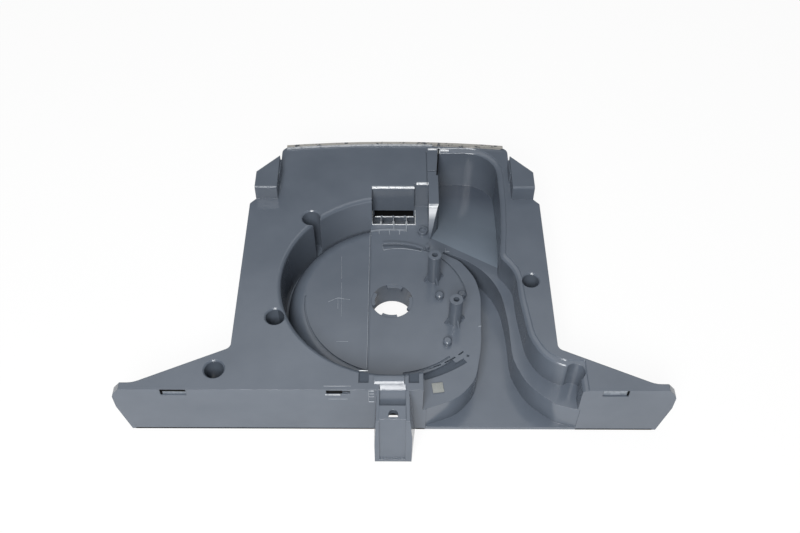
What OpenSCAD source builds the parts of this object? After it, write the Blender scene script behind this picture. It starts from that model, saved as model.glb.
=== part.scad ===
// Injection moulded plastic housing.
// A thin-walled T-shaped moulding, open underneath: wide wings in front, a narrower body behind.
// The deck is cut by a round bowl with a raised platform, a rear pocket whose ramp spills over a lip,
// and a channel that bends past the platform and opens through the front face.
// Drawing frame: X to the right, Y from the front face to the rear, Z up from the base.

/* [Deck and skirt] */
// Width across the wings at the deck
wing_w = 300; // [290:1:310]
// Swell of each wing tip beyond the deck edge
wing_swell = 5; // [3:0.5:7]
// Depth of the square end of each wing
wing_tip_d = 4.3; // [3.5:0.1:6]
// Width of the body behind the wings
body_w = 184; // [182:0.5:188]
// Depth from the front face to the rear corners
body_d = 190; // [189:0.5:196]
// Bow of the rear edge at its middle
rear_bow = 4; // [2:0.5:6]
// Height of the deck above the base
deck_h = 42; // [40:0.5:46]
// Wall thickness of the moulding
wall = 2.5; // [2:0.1:3]
// Height of the rim along the rear edge
rim_h = 1.6; // [1:0.1:2.5]
// Thickness of the rim along the rear edge
rim_t = 2.4; // [2:0.1:3]

/* [Rear ears] */
// Height of the ears above the deck
ear_h = 10.5; // [8:0.5:13]
// Step of the body sides from the wings to the rear, behind the ears
rear_step = 17; // [15:0.5:18]
// Front face of the ears
ear_y = 142.5; // [141:0.5:144]
// Length of the ears along the body side
ear_len = 13.8; // [13:0.1:16]
// Run of the slanted outer side of the ears
ear_slant = 14.8; // [13:0.1:17]
// Fall of the ear tops behind their crease, in degrees
ear_fall = 9; // [5:1:14]

/* [Bowl and platform] */
// Radius of the bowl at the deck
bowl_r = 68.6; // [67:0.2:69.6]
// Radius of the rolled edge where the bowl meets the deck
bowl_roll = 2.6; // [1.5:0.1:3]
// Radius of the bowl wall at its foot
bowl_foot_r = 65.8; // [65.6:0.1:66]
// Radius of the rounded shoulder of the platform at the foot of the bowl
shoulder_r = 64.2; // [62:0.2:64.6]
// Depth of the bowl at the foot of its wall
bowl_depth = 34; // [30:0.5:36]
// Radius of the platform
platform_r = 51.5; // [50.5:0.1:52]
// Depth of the platform and of the channel ledge below the deck
ledge_depth = 21; // [18:0.5:23]
// Width of the groove round the platform
groove_w = 1.1; // [0.8:0.1:1.4]
// Depth of the groove round the platform
groove_d = 0.9; // [0.6:0.1:1.2]

/* [Centre collar] */
// Radius of the collar bore
collar_r = 12.7; // [12:0.1:13.5]
// Depth of the collar below the platform
collar_depth = 17; // [12:0.5:17.5]
// Reach of the bayonet tabs into the bore
tab_reach = 2.2; // [1.5:0.1:3]
// Thickness of the bayonet tabs
tab_t = 2.2; // [1.6:0.1:3]

/* [Channel and pocket] */
// Radius of the rolled edge between the deck and the walls of the channel and pocket
edge_roll = 3; // [2:0.2:3.4]
// Thickness of the channel floor
channel_floor = 2.5; // [2:0.1:3]
// Depth of the pocket floor at the rear
pocket_depth = 32; // [30:0.5:34]
// Length over which the ramp rises to the lip
ramp_run = 52; // [46:1:58]

/* [Niches and divider] */
// Width of the back niche
niche_w = 28.4; // [27:0.2:28.8]
// Back panel of the niche
niche_y = 152.4; // [151:0.2:154]
// Opening of the niche trough from front to back
trough_w = 12.6; // [11:0.2:13]
// Depth of the niche trough below the deck
trough_depth = 33; // [30:0.5:35]
// Height of the slot in the niche panel
slot_h = 5; // [4:0.2:6]
// Top of the slot below the deck
slot_drop = 21.5; // [20:0.5:22]
// Reach of the blind pocket behind the slot
slot_reach = 12; // [8:0.5:16]
// Back panel of the narrow niche
side_niche_y = 156; // [155:0.2:157]
// Radius of the rolled edge along the top of the niches
niche_roll = 2; // [1.2:0.1:2.6]
// Thickness of the divider wall
divider_t = 6.4; // [5.5:0.1:7]

/* [Screw wells] */
// Radius of the wells
well_r = 5.4; // [5:0.1:5.8]
// Radius of the screw hole at the bottom of a well
well_hole_r = 2.2; // [1.8:0.1:2.6]
// Depth of the front left well
front_well_depth = 21; // [18:0.5:24]
// Depth of the side wells
side_well_depth = 30; // [26:0.5:32]

/* [Posts and pegs] */
// Outer radius of the screw posts
post_r = 4; // [3.6:0.1:4.4]
// Radius of the screw hole in a post
post_hole_r = 1.7; // [1.4:0.1:2]
// Height of the posts above the platform
post_h = 21; // [18:0.5:23]
// Radius of the locating pegs
peg_r = 2.6; // [2.2:0.1:3]
// Height of the locating pegs
peg_h = 3.6; // [2.5:0.1:5]
// Thickness of the thin ribs
rib_t = 1.2; // [1:0.1:1.6]

/* [Front tongue] */
// Width of the tongue at its root
tongue_w = 23.6; // [22:0.2:25]
// Width of the tongue at its toe
toe_w = 20.6; // [19:0.2:22]
// Width of the tongue at its top
tongue_top_w = 18; // [16:0.2:20]
// Reach of the tongue in front of the front face, at its base
tongue_reach = 20.8; // [19:0.2:22]
// Lean of the front of the tongue from its base to its top
tongue_lean = 3.6; // [1:0.1:4]
// Lead of the cheeks over the front panel of the tongue
cheek_lead = 0.8; // [0.5:0.1:1.2]
// Width of the tongue pad between its cheeks
pad_w = 14.4; // [13:0.2:15]
// Length of the tongue pad
pad_len = 7.5; // [7:0.1:8.4]
// Fall of the tongue pad from its rear to its front edge
pad_fall = 1.6; // [0:0.1:3]
// Depth of the scoop between the pad and the ridge
scoop_depth = 3; // [1.5:0.1:4]
// Radius of the hole in the tongue pad
tongue_hole_r = 2.6; // [2:0.1:3]
// Length of the straight part of the hole in the tongue pad
tongue_hole_flat = 1.4; // [0.6:0.1:2]
// Radius of the ridge behind the tongue
ridge_r = 5.1; // [4.8:0.1:5.6]
// Height of the ridge above the deck
ridge_h = 1.7; // [1:0.1:1.8]
// Width of the ridge behind the tongue
ridge_w = 16.6; // [15:0.2:19]

/* [Front slots] */
// Width of the hook slots in the front edge
hook_w = 14.2; // [12:0.2:16]
// Height of the recesses in front of the hook slots
hook_h = 6; // [5:0.1:7]
// Height of the hook slots
hook_slit = 1.8; // [1.4:0.1:2.4]
// Depth of the hook slots behind the front face
hook_reach = 4.4; // [3:0.1:6]
// Width of the catch recess to the left of the tongue
catch_w = 13; // [11:0.2:15]
// Height of the catch recess
catch_h = 3; // [2.4:0.1:3.4]
// Bottom of the catch recess below the deck
catch_drop = 4.4; // [4:0.1:5]
// Depth of the recesses on each side of the ridge
flank_depth = 1.5; // [0.8:0.1:2]

/* [Foam pad] */
// Side of the square pad
foam_side = 6.4; // [5:0.1:8]
// Thickness of the pad
foam_t = 1; // [0.6:0.1:1.6]

/* [Hidden] */
$fn = 96;
over = 4;
arc_step = 12;

ledge_z = deck_h - ledge_depth;
bowl_z = deck_h - bowl_depth;
pocket_z = deck_h - pocket_depth;
trough_z = deck_h - trough_depth;
bowl_c = [-1.4, 76.9];
mid_y = (body_d + rear_bow - tongue_reach) / 2;
rear_w = body_w - 2 * rear_step;
ear_x = body_w / 2 - 3.6;
ear_x0 = rear_w / 2 - 0.5;
step_x = -15.5;
wing_root_y = 27.6;
niche_x0 = -14.7;
niche_x1 = niche_x0 + niche_w;
divider_x1 = 28.2;
divider_x0 = divider_x1 - divider_t;
tongue_x = 0.3;
toe_x = -0.4;
tongue_top_x = -0.6;
pad_x = -0.8;
pad_front = tongue_lean - tongue_reach;
pad_rear = pad_front + pad_len;
ridge_x = -2.7;
ridge_y = 7.4;
tongue_hole_x = -0.4;
tongue_hole_y = pad_front + 2.6;
wing_x = 102.8;
block_x = 16;
disc_r = platform_r + 2;
HOOK_X = [-120.6, 121.2];
catch_x = -30.5;
FLANK_X = [-16.7, 10.8];
flank_w = 5.5;
flank_y = 4.7;
flank_len = 8;
pad_c = [24.9, 14.4];

// Unit vector along v
function unit(v) = v / norm(v);
// Point p turned about the origin by angle a
function turned(p, a) = [p[0] * cos(a) - p[1] * sin(a), p[0] * sin(a) + p[1] * cos(a)];
// A corner of a path rounded with radius r
function corner(p, before, after, r) =
    let (u = unit(before - p), v = unit(after - p), half = acos(u * v) / 2)
    r <= 0 || half > 89.5 ? [p] :
    let (
        c = p + unit(u + v) * r / sin(half),
        s = p + u * r / tan(half) - c,
        side = cross(v, u) > 0 ? -1 : 1,
        sweep = 180 - 2 * half,
        n = max(1, ceil(sweep / arc_step))
    )
    [for (i = [0:n]) c + turned(s, -side * sweep * i / n)];
// A closed path through corners given as [x, y, radius]
function rounded(corners) =
    let (n = len(corners), xy = [for (k = corners) [k[0], k[1]]])
    [for (i = [0:n - 1]) each corner(xy[i], xy[(i + n - 1) % n], xy[(i + 1) % n], corners[i][2])];
// Outward normal of the step from a to b on an anticlockwise path
function normal(a, b) = let (d = unit(b - a)) [d[1], -d[0]];
// A closed anticlockwise path moved outwards by d
function grown(path, d) =
    let (n = len(path))
    [for (i = [0:n - 1]) let (
        m = normal(path[(i + n - 1) % n], path[i]),
        k = normal(path[i], path[(i + 1) % n])
    ) path[i] + (m + k) * d / (1 + m * k)];
// A path with its mirror image about X = 0, for an outline drawn from front to rear on the right
function both_sides(half_path) =
    let (n = len(half_path))
    concat(half_path, [for (i = [n - 1:-1:0]) [-half_path[i][0], half_path[i][1], half_path[i][2]]]);
// A rolled edge of radius r that leaves a wall at x and meets the deck at [x + r, z]
function rolled(x, z, r) = [for (a = [0:15:90]) [x + r * (1 - cos(a)), z - r * (1 - sin(a))]];

// Upright prism with the given plan between two levels
module prism(path, z0, z1) {
    translate([0, 0, z0]) linear_extrude(z1 - z0) polygon(path);
}

// Flat ring between two radii round the middle of the bowl
module ring(r0, r1, z0, z1) {
    translate([bowl_c[0], bowl_c[1], z0]) difference() {
        cylinder(h = z1 - z0, r = r1);
        translate([0, 0, -1]) cylinder(h = z1 - z0 + 2, r = r0);
    }
}

// Profile in the YZ plane drawn along X from x0 to x1
module along_x(x0, x1) {
    translate([x0, 0, 0]) rotate([90, 0, 90]) linear_extrude(x1 - x0) children();
}

// Bowed rear edge of the deck
function bow_y(x) = body_d + rear_bow * (1 - pow(2 * x / rear_w, 2));
BOW_X = [for (i = [1:4]) rear_w / 2 * (1 - i / 4.5)];

// Corners of the plan of the deck, with the thin wing tips or with the wings cut short of them
function plan_corners(tips) = let (
    x0 = wing_w / 2 - 7,
    x1 = x0 - 2,
    slope = (wing_root_y - wing_tip_d) / (x0 - body_w / 2)
) both_sides(concat(tips ? [
    [wing_w / 2 + wing_swell, 0, 0],
    [wing_w / 2 + wing_swell, wing_tip_d, 1],
    [x0, wing_tip_d, 14]
] : [
    [x1, 0, 0],
    [x1, wing_tip_d + (x0 - x1) * slope, 0]
], [
    [body_w / 2, wing_root_y, 4],
    [body_w / 2, ear_y - 4.2, 1.5],
    [ear_x, ear_y - 0.2, 0],
    [ear_x, ear_y + ear_len, 2],
    [rear_w / 2, ear_y + ear_len + ear_slant, 3],
    [rear_w / 2, body_d - 1, 5]
], [for (x = BOW_X) [x, bow_y(x), 0]]));

// Plan of the deck, or of the space inside its walls
function plan_path(inset) =
    let (
        corners = plan_corners(inset == 0),
        xy = grown([for (k = corners) [k[0], k[1]]], -inset)
    )
    rounded([for (i = [0:len(xy) - 1])
        [xy[i][0], xy[i][1], inset > 0 && corners[i][2] < 4 ? 0 : corners[i][2]]]);

// Front view of the skirt, with wing tips that swell below the deck and taper to the base
function front_path(inset) = let (w = wing_w / 2 - inset, s = wing_swell) [
    [-w - 0.6, -over], [w + 0.6, -over], [w + 0.6, 0], [w + s, deck_h - 18], [w + s, deck_h - 8],
    [w + s - 1, deck_h - 5], [w, deck_h - inset], [-w, deck_h - inset], [-w - s + 1, deck_h - 5],
    [-w - s, deck_h - 8], [-w - s, deck_h - 18], [-w - 0.6, 0]
];

// Upright block of the given plan, trimmed to the front view of the skirt
module skirt_block(inset) {
    intersection() {
        prism(plan_path(inset), inset > 0 ? -over : 0, deck_h - inset);
        translate([0, -over, 0]) rotate([90, 0, 0]) translate([0, 0, -body_d - 3 * over])
            linear_extrude(body_d + 3 * over) polygon(front_path(inset));
    }
}

// Low rim that follows the bowed rear edge
module rear_rim() {
    xs = concat([rear_w / 2 - 3], BOW_X, [for (i = [len(BOW_X) - 1:-1:0]) -BOW_X[i]], [3 - rear_w / 2]);
    prism(concat(
        [for (x = xs) [x, bow_y(x) - 0.2]],
        [for (i = [len(xs) - 1:-1:0]) [xs[i], bow_y(xs[i]) - rim_t]]
    ), deck_h - 1, deck_h + rim_h);
}

// Plan of the right ear
function ear_path(inset) = let (i = inset, x0 = ear_x0) [
    [x0 + i, ear_y + i],
    [ear_x - i, ear_y + i],
    [ear_x - i, ear_y + ear_len - i * 0.6],
    [x0 + i, ear_y + ear_len + ear_slant - i * 1.8]
];

// Raised block at the right rear corner; its top falls away behind a slanted crease
module ear(inset) {
    top = deck_h + ear_h - inset;
    difference() {
        prism(ear_path(inset), inset > 0 ? 0 : deck_h - 1, top);
        translate([ear_x - 1.6, ear_y + 5.4, top]) rotate([0, 0, 148]) rotate([-ear_fall, 0, 0])
            translate([-30, -60, 0]) cube([60, 60, 20]);
        if (inset == 0) translate([0, ear_y, top]) along_x(ear_x0 - 1, ear_x + 1) difference() {
            translate([-1, -1.4]) square([2.4, 2.4]);
            translate([1.4, -1.4]) circle(r = 1.4, $fn = 32);
        }
    }
}

module ears(inset) {
    ear(inset);
    mirror([1, 0, 0]) ear(inset);
}

// Plan of the recess round the channel and the pocket, from its floor level up
function recess_path() = rounded([
    [block_x, -over, 0],
    [wing_x, -over, 0],
    [wing_x, 16.4, 0],
    [94.7, 16.6, 6],
    [83.6, 21.5, 22],
    [76.4, 37, 30],
    [73.2, 65, 60],
    [72.6, 84, 22],
    [64, 96, 9],
    [66.2, 118, 60],
    [67.3, 142, 60],
    [66.8, 186.2, 20],
    [divider_x1, 186.2, 2],
    [divider_x1, 138.6, 0],
    [23.2, 127, 0],
    [15, 110, 0],
    [15, 60, 0],
    [block_x, 40, 0]
]);

// Plan of the channel between the platform and the ledge
function channel_path() = rounded([
    [18, -over, 0],
    [wing_x + 1.4, -over, 0],
    [wing_x + 1.4, 0.6, 0],
    [92, 3, 14],
    [76.5, 16.5, 30],
    [69, 34, 30],
    [68.5, 60, 80],
    [66, 82, 40],
    [58, 99, 40],
    [45, 109.5, 30],
    [31.4, 116.2, 0],
    [30.2, 115.2, 0],
    [41.5, 108.4, 12],
    [50.5, 95, 30],
    [53, 80, 30],
    [52, 60, 60],
    [51.4, 44, 60],
    [47, 20, 24],
    [36, 7.5, 26],
    [18, 0.9, 0]
]);

// Section of the bowl wall from its foot to the rolled edge at the deck
function bowl_section(grow) = let (x = bowl_r - bowl_roll + grow) concat(
    [[bowl_foot_r + grow, bowl_z + 1]],
    grow > 0 ? [[x, deck_h - bowl_roll], [x, deck_h + over]] :
        concat(rolled(x, deck_h, bowl_roll), [[x + bowl_roll, deck_h + over]])
);

// Cut that rolls the edge where the walls of a recess meet the deck
module rolled_edge(path, r) {
    steps = [for (a = [0:18:90]) [-0.4 + (r + 0.4) * (1 - cos(a)), deck_h - 0.6 - (r - 0.6) * (1 - sin(a))]];
    levels = concat([[-0.6, deck_h - r - 1.5]], steps, [[r + 1.6, deck_h + 1]]);
    n = len(path);
    m = len(levels);
    polyhedron(
        points = [for (l = levels) each [for (p = grown(path, l[0])) [p[0], p[1], l[1]]]],
        faces = concat(
            [[for (i = [0:n - 1]) i]],
            [for (j = [0:m - 2], i = [0:n - 1]) [
                j * n + i, (j + 1) * n + i, (j + 1) * n + (i + 1) % n, j * n + (i + 1) % n
            ]],
            [[for (i = [n - 1:-1:0]) (m - 1) * n + i]]
        ),
        convexity = 6
    );
}

// Rolled edges of the deck along the recess, and along the tops of the two niches
module deck_edges() {
    intersection() {
        rolled_edge(recess_path(), edge_roll);
        translate([divider_x1 + 0.1, -over, 0]) cube([wing_w, body_d + over, deck_h + over]);
    }
    for (e = [[niche_x0, niche_x1, niche_y], [niche_x1 + 0.4, divider_x0, side_niche_y]])
        translate([0, e[2], deck_h]) along_x(e[0], e[1]) difference() {
            translate([-1, -niche_roll]) square([niche_roll + 1, niche_roll + 1]);
            translate([niche_roll, -niche_roll]) circle(r = niche_roll, $fn = 48);
        }
}

// Air of the bowl. On the left of the step line a rounded shoulder falls from the platform to the foot of
// the wall, elsewhere the bowl ends at the level of the platform
module bowl(grow) {
    base = bowl_z - grow;
    level = ledge_z - grow;
    wall_line = bowl_section(grow);
    // Quarter of an ellipse from the platform down to the foot
    shoulder = [for (a = [0:10:90]) [
        disc_r + (shoulder_r - grow - disc_r) * sin(a),
        base + (level - base) * cos(a)
    ]];
    intersection() {
        translate([bowl_c[0], bowl_c[1], 0]) rotate_extrude($fn = 180) polygon(concat(
            [[0, deck_h + over], [0, level]], shoulder, [[bowl_foot_r + grow, base]], wall_line
        ));
        translate([-120, -20, -over]) cube([120 + step_x + grow, 240, 60]);
    }
    intersection() {
        translate([bowl_c[0], bowl_c[1], 0])
            rotate_extrude($fn = 180) polygon(concat([[0, deck_h + over], [0, bowl_z + 1]], wall_line));
        translate([-100, 0, level]) cube([200, 200, deck_h]);
    }
}

// Air of the pocket: a smooth ramp falls from the lip to the rear floor
module pocket(grow) {
    drop = ledge_z - pocket_z;
    // Half a cosine wave from the lip down to the floor
    ramp = [for (i = [0:8]) [ramp_run * i / 8, ledge_z - drop * (1 - cos(180 * i / 8)) / 2 - grow]];
    intersection() {
        prism(grown(recess_path(), grow), pocket_z - grow, ledge_z + 1);
        translate([29.7, 116.8, 0]) rotate([0, 0, -31]) rotate([90, 0, 90]) translate([0, 0, -60])
            linear_extrude(140) polygon(concat(ramp, [
                [120, pocket_z - grow], [120, ledge_z + 2], [0, ledge_z + 2]
            ]));
    }
}

// Air of the back niche with its trough, and of the narrow niche beside it
module niches(grow) {
    g = grow;
    floor_w = niche_y - 116;
    translate([niche_x0 - g, 116, ledge_z - g]) cube([niche_w + 2 * g, floor_w + g, ledge_depth + over + g]);
    translate([niche_x0 - g, niche_y - trough_w - g, trough_z - g])
        cube([niche_w + 2 * g, trough_w + 2 * g, trough_depth]);
    translate([niche_x1 - 1, 116, ledge_z - g])
        cube([divider_x0 - niche_x1 + 1 + (g > 0 ? divider_t : 0), side_niche_y - 116 + g, ledge_depth + over + g]);
}

// Thin ribs and the lip inside the niche trough
module niche_details() {
    for (x = [-8.6, -0.9, 7])
        translate([x - rib_t / 2, niche_y - 4, trough_z]) cube([rib_t, 4, ledge_z - trough_z - 5]);
    translate([niche_x0, niche_y - 1.4, deck_h - slot_drop - slot_h - 1]) cube([niche_w, 1.4, 1]);
}

// Slot through the back panel of the niche, with the blind pocket behind it
module panel_slot(grow) {
    translate([niche_x0 + 1.2 - grow, niche_y - 0.1, deck_h - slot_drop - slot_h - grow])
        cube([niche_w - 2.4 + 2 * grow, slot_reach + grow, slot_h + 2 * grow]);
}

// Screw wells as [x, y, radius, depth, hole]
WELLS = [
    [-99.5, 13.2, well_r, front_well_depth, true],
    [100.2, 12.8, well_r, ledge_depth, false],
    [-68.8, 49.3, well_r, side_well_depth, true],
    [80.9, 76.6, well_r - 0.5, side_well_depth, true],
    [-52.3, 126.2, well_r + 0.2, bowl_depth - 1, false]
];

module wells() {
    for (w = WELLS) translate([w[0], w[1], 0]) {
        translate([0, 0, deck_h - w[3]]) cylinder(h = w[3] + over, r = w[2]);
        translate([0, 0, deck_h - 0.8]) cylinder(h = 0.8 + over, r1 = w[2], r2 = w[2] + 0.8 + over);
        if (w[4]) translate([0, 0, -over]) cylinder(h = deck_h, r = well_hole_r);
    }
}

module well_bosses() {
    for (w = WELLS) translate([w[0], w[1], deck_h - w[3] - wall]) cylinder(h = w[3] + wall, r = w[2] + wall);
}

// Recess walls as seen from below: each recess grown by the wall thickness
module jackets() {
    prism(grown(recess_path(), wall), ledge_z - wall, deck_h + over);
    prism(grown(channel_path(), wall), 0, ledge_z);
    bowl(wall);
    pocket(wall);
    niches(wall);
    panel_slot(wall / 2);
    well_bosses();
    translate([bowl_c[0], bowl_c[1], ledge_z - collar_depth]) cylinder(h = collar_depth, r = collar_r + wall);
    translate([tongue_x - tongue_w / 2, 0, 0]) cube([tongue_w, wall, deck_h]);
    ribs();
}

// Stiffening ribs under the deck
module ribs() {
    for (side = [-1, 1], x = [112, 130])
        translate([side * x - rib_t / 2, 0, 8]) cube([rib_t, 30, deck_h - 8]);
    for (y = [64, 92, 118]) translate([-body_w / 2, y - rib_t / 2, 14]) cube([26, rib_t, deck_h - 14]);
    for (x = [-52, -24]) translate([x - rib_t / 2, 146, 14]) cube([rib_t, 50, deck_h - 14]);
}

// Space under the moulding between the skirt and the recess walls
module underside() {
    difference() {
        union() {
            skirt_block(wall);
            ears(wall);
        }
        jackets();
    }
}

// Bore of the collar, less its bayonet tabs
module collar_bore() {
    translate([bowl_c[0], bowl_c[1], 0]) difference() {
        translate([0, 0, ledge_z - collar_depth - over]) rotate([0, 0, 37])
            cylinder(h = collar_depth + 2 * over, r = collar_r);
        for (a = [-8, 82, 172, 262]) rotate([0, 0, a]) intersection() {
            translate([0, 0, ledge_z - tab_t - 0.4]) rotate([0, 0, 45]) difference() {
                cylinder(h = tab_t, r = collar_r + 1);
                translate([0, 0, -1]) cylinder(h = tab_t + 2, r = collar_r - tab_reach);
            }
            translate([0, 0, ledge_z - tab_t - 2]) linear_extrude(tab_t + 3)
                polygon([[0, 0], [30, -13], [30, 13]]);
        }
    }
}

// Groove round the left of the platform, the joint line across it and the curved slots in front
module platform_cuts() {
    intersection() {
        translate([bowl_c[0], bowl_c[1], ledge_z - groove_d]) difference() {
            cylinder(h = groove_d + 1, r = disc_r);
            translate([0.5, 0.9, -1]) cylinder(h = groove_d + 3, r = disc_r - 0.2);
        }
        translate([-70, 0, 0]) cube([70 + step_x, bowl_c[1] + 4, deck_h]);
    }
    intersection() {
        ring(disc_r - groove_w, disc_r, ledge_z - groove_d, ledge_z + 1);
        translate([bowl_c[0], bowl_c[1], 0]) linear_extrude(deck_h) polygon([[0, 0], [10, -80], [66, -80]]);
    }
    intersection() {
        ring(45.4, 46.2, ledge_z - groove_d, ledge_z + 1);
        translate([bowl_c[0] + 20, bowl_c[1] + 4, 0]) cube([40, 37, deck_h]);
    }
    intersection() {
        ring(55.6, 59.2, ledge_z - wall + 1, ledge_z + 1);
        translate([bowl_c[0], bowl_c[1], 0]) linear_extrude(deck_h) polygon([[0, 0], [22, -80], [66, -80]]);
    }
    translate([step_x, 26, ledge_z - 0.5]) cube([0.8, 104, 1]);
}

// Screw posts as [x, y, extra height]
POSTS = [[24.4, 94.4, 2], [36.3, 62.1, 0]];
PEGS = [[27.6, 79.8], [41.3, 80.5], [31.3, 45.5]];

module post(height) {
    difference() {
        union() {
            cylinder(h = height, r = post_r);
            for (a = [20, 110, 200, 290]) rotate([0, 0, a]) rotate([90, 0, 0]) translate([0, 0, -rib_t / 2])
                linear_extrude(rib_t) polygon([[0, 0], [post_r + 2.6, 0], [post_r, 5], [0, 5]]);
        }
        translate([0, 0, 2]) cylinder(h = height, r = post_hole_r);
    }
}

module peg() {
    cylinder(h = peg_h - 0.8, r = peg_r);
    translate([0, 0, peg_h - 0.8]) cylinder(h = 0.8, r1 = peg_r, r2 = peg_r - 0.8);
}

// Everything that stands on the platform
module platform_parts() {
    for (p = POSTS) translate([p[0], p[1], ledge_z]) post(post_h + p[2]);
    for (p = PEGS) translate([p[0], p[1], ledge_z]) peg();
    translate([20.8, 119, ledge_z]) cylinder(h = 2.6, r = 1.5);
    translate([18.1, 132.6, ledge_z]) difference() {
        cylinder(h = 2.6, r = 3.2);
        translate([0, 0, 1]) cylinder(h = 3, r = 2.2);
    }
    // Curved rib near the rear of the platform
    intersection() {
        ring(44.6, 46.4, ledge_z - 1, ledge_z + 2);
        translate([-7.7, 100, 0]) cube([26, 40, deck_h]);
    }
    // Curved rib behind the platform, with short spokes and a lead to the niche
    intersection() {
        ring(57.4, 58.2, ledge_z - 1, ledge_z + 0.9);
        translate([step_x, 100, 0]) cube([7.9 - step_x, 40, deck_h]);
    }
    for (x = [-10.2, -3.6, 2.8])
        translate([x, bowl_c[1] + 54, ledge_z - 1]) rotate([0, 0, -x / 2]) cube([0.7, 3.6, 1.7]);
    for (x = [-0.9, 7.2]) translate([x, bowl_c[1] + 57.4, ledge_z - 1]) cube([0.8, 5.2, 1.9]);
}

// Divider between the bowl and the pocket, with a steep rounded end
module divider() {
    intersection() {
        prism([
            [divider_x0, 126.4], [23.2, 126.4], [divider_x1, 138.6], [divider_x1 + 2, 190], [divider_x0, 190]
        ], ledge_z - 1, deck_h);
        along_x(divider_x0 - 1, divider_x1 + 4) polygon(concat(
            [[192, ledge_z - 12], [192, deck_h]],
            [for (a = [0:12:60]) [139 - 3.4 * sin(a), deck_h - 3.4 * (1 - cos(a))]],
            [[126.6, ledge_z + 1], [126.6, ledge_z - 12]]
        ));
    }
    // Raised end panel of the divider at the rear
    translate([divider_x0 + 0.4, 167.5, deck_h - 1]) cube([divider_t - 0.4, 20, 1]);
}

// Tongue in front of the front face: a pad and a front panel between two sloping cheeks
module tongue_body() {
    toe = -tongue_reach;
    root = ridge_y + 1;
    cheek = [
        [toe, 0], [pad_front - cheek_lead, deck_h - pad_fall - 1.2], [pad_rear, deck_h - 1],
        [0, deck_h - 0.6], [root, deck_h - 0.6], [root, 0]
    ];
    translate([pad_x, 0, 0]) along_x(-pad_w / 2, pad_w / 2) polygon([
        [toe + cheek_lead, 0], [pad_front, deck_h - pad_fall], [pad_rear, deck_h], [root, deck_h], [root, 0]
    ]);
    intersection() {
        prism([
            [tongue_x - tongue_w / 2, root], [tongue_x - tongue_w / 2, 0], [toe_x - toe_w / 2, toe],
            [toe_x + toe_w / 2, toe], [tongue_x + tongue_w / 2, 0], [tongue_x + tongue_w / 2, root]
        ], 0, deck_h);
        translate([0, root, 0]) rotate([90, 0, 0]) linear_extrude(root - toe) polygon([
            [tongue_x - tongue_w / 2, 0], [tongue_x + tongue_w / 2, 0],
            [tongue_top_x + tongue_top_w / 2, deck_h], [tongue_top_x - tongue_top_w / 2, deck_h]
        ]);
        union() {
            along_x(-tongue_w, pad_x - pad_w / 2) polygon(cheek);
            along_x(pad_x + pad_w / 2, tongue_w) polygon(cheek);
        }
    }
    translate([pad_x - pad_w / 2, toe, 0]) cube([pad_w, wall, 2.4]);
    // Rounded ridge across the root of the tongue
    translate([ridge_x, ridge_y, deck_h + ridge_h - ridge_r]) rotate([0, 90, 0])
        cylinder(h = ridge_w, r = ridge_r, center = true);
}

module tongue_cuts() {
    ridge_front = ridge_y - sqrt(2 * ridge_r * ridge_h - ridge_h * ridge_h);
    chord = ridge_front - pad_rear;
    scoop_r = (chord * chord / 4 + scoop_depth * scoop_depth) / 2 / scoop_depth;
    hollow_w = pad_w - 2 * wall;
    hollow_y = tongue_hole_y - tongue_hole_flat;
    translate([pad_x, 0, 0]) {
        // Scoop between the pad and the ridge
        translate([0, (pad_rear + ridge_front) / 2, deck_h - scoop_depth + scoop_r]) rotate([0, 90, 0])
            cylinder(h = pad_w, r = scoop_r, center = true);
        // Hollow below the pad and the scoop
        translate([-hollow_w / 2, hollow_y, -over])
            cube([hollow_w, pad_rear - hollow_y, deck_h - pad_fall - wall + over]);
        translate([-hollow_w / 2, pad_rear - 1, -over])
            cube([hollow_w, wall + 1 - pad_rear, deck_h - scoop_depth - wall + over]);
    }
    translate([tongue_hole_x, tongue_hole_y, deck_h - 2 * wall]) intersection() {
        translate([-tongue_hole_r, -tongue_hole_flat, 0])
            cube([2 * tongue_hole_r, tongue_hole_flat + tongue_hole_r + 1, 3 * wall]);
        union() {
            cylinder(h = 3 * wall, r = tongue_hole_r, $fn = 48);
            translate([-tongue_hole_r, -tongue_hole_r, 0]) cube([2 * tongue_hole_r, tongue_hole_r, 3 * wall]);
        }
    }
}

// Slots for the hooks along the front edge, and the recesses beside the tongue
module front_slots() {
    for (x = HOOK_X) translate([x - hook_w / 2, -1, 0]) {
        translate([0, 0, deck_h - hook_h]) cube([hook_w, 2, hook_h + 1]);
        translate([0, 0, deck_h - hook_slit]) cube([hook_w, hook_reach + 1, hook_slit + 1]);
    }
    translate([catch_x - catch_w / 2, -1, deck_h - catch_drop]) cube([catch_w, 2.4, catch_h]);
    translate([catch_x - catch_w / 4, -1, deck_h - catch_drop + 0.6]) cube([catch_w / 2, 6, catch_h - 1]);
    for (x = FLANK_X) translate([x - flank_w / 2, flank_y, deck_h - flank_depth])
        cube([flank_w, flank_len, flank_depth + 1]);
}

module housing() {
    color([0.37, 0.4, 0.45]) {
        difference() {
            union() {
                skirt_block(0);
                rear_rim();
                ears(0);
                tongue_body();
            }
            underside();
            prism(recess_path(), ledge_z, deck_h + over);
            prism(channel_path(), channel_floor, ledge_z + 1);
            difference() {
                union() {
                    bowl(0);
                    niches(0);
                }
                divider();
                niche_details();
            }
            pocket(0);
            panel_slot(0);
            deck_edges();
            wells();
            collar_bore();
            platform_cuts();
            tongue_cuts();
            front_slots();
        }
        platform_parts();
    }
}

module foam_pad() {
    color([0.62, 0.64, 0.6]) translate([pad_c[0], pad_c[1], ledge_z]) rotate([0, 0, 8])
        translate([-foam_side / 2, -foam_side / 2, 0]) cube([foam_side, foam_side, foam_t]);
}

translate([0, -mid_y, 0]) {
    housing();
    foam_pad();
}
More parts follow.
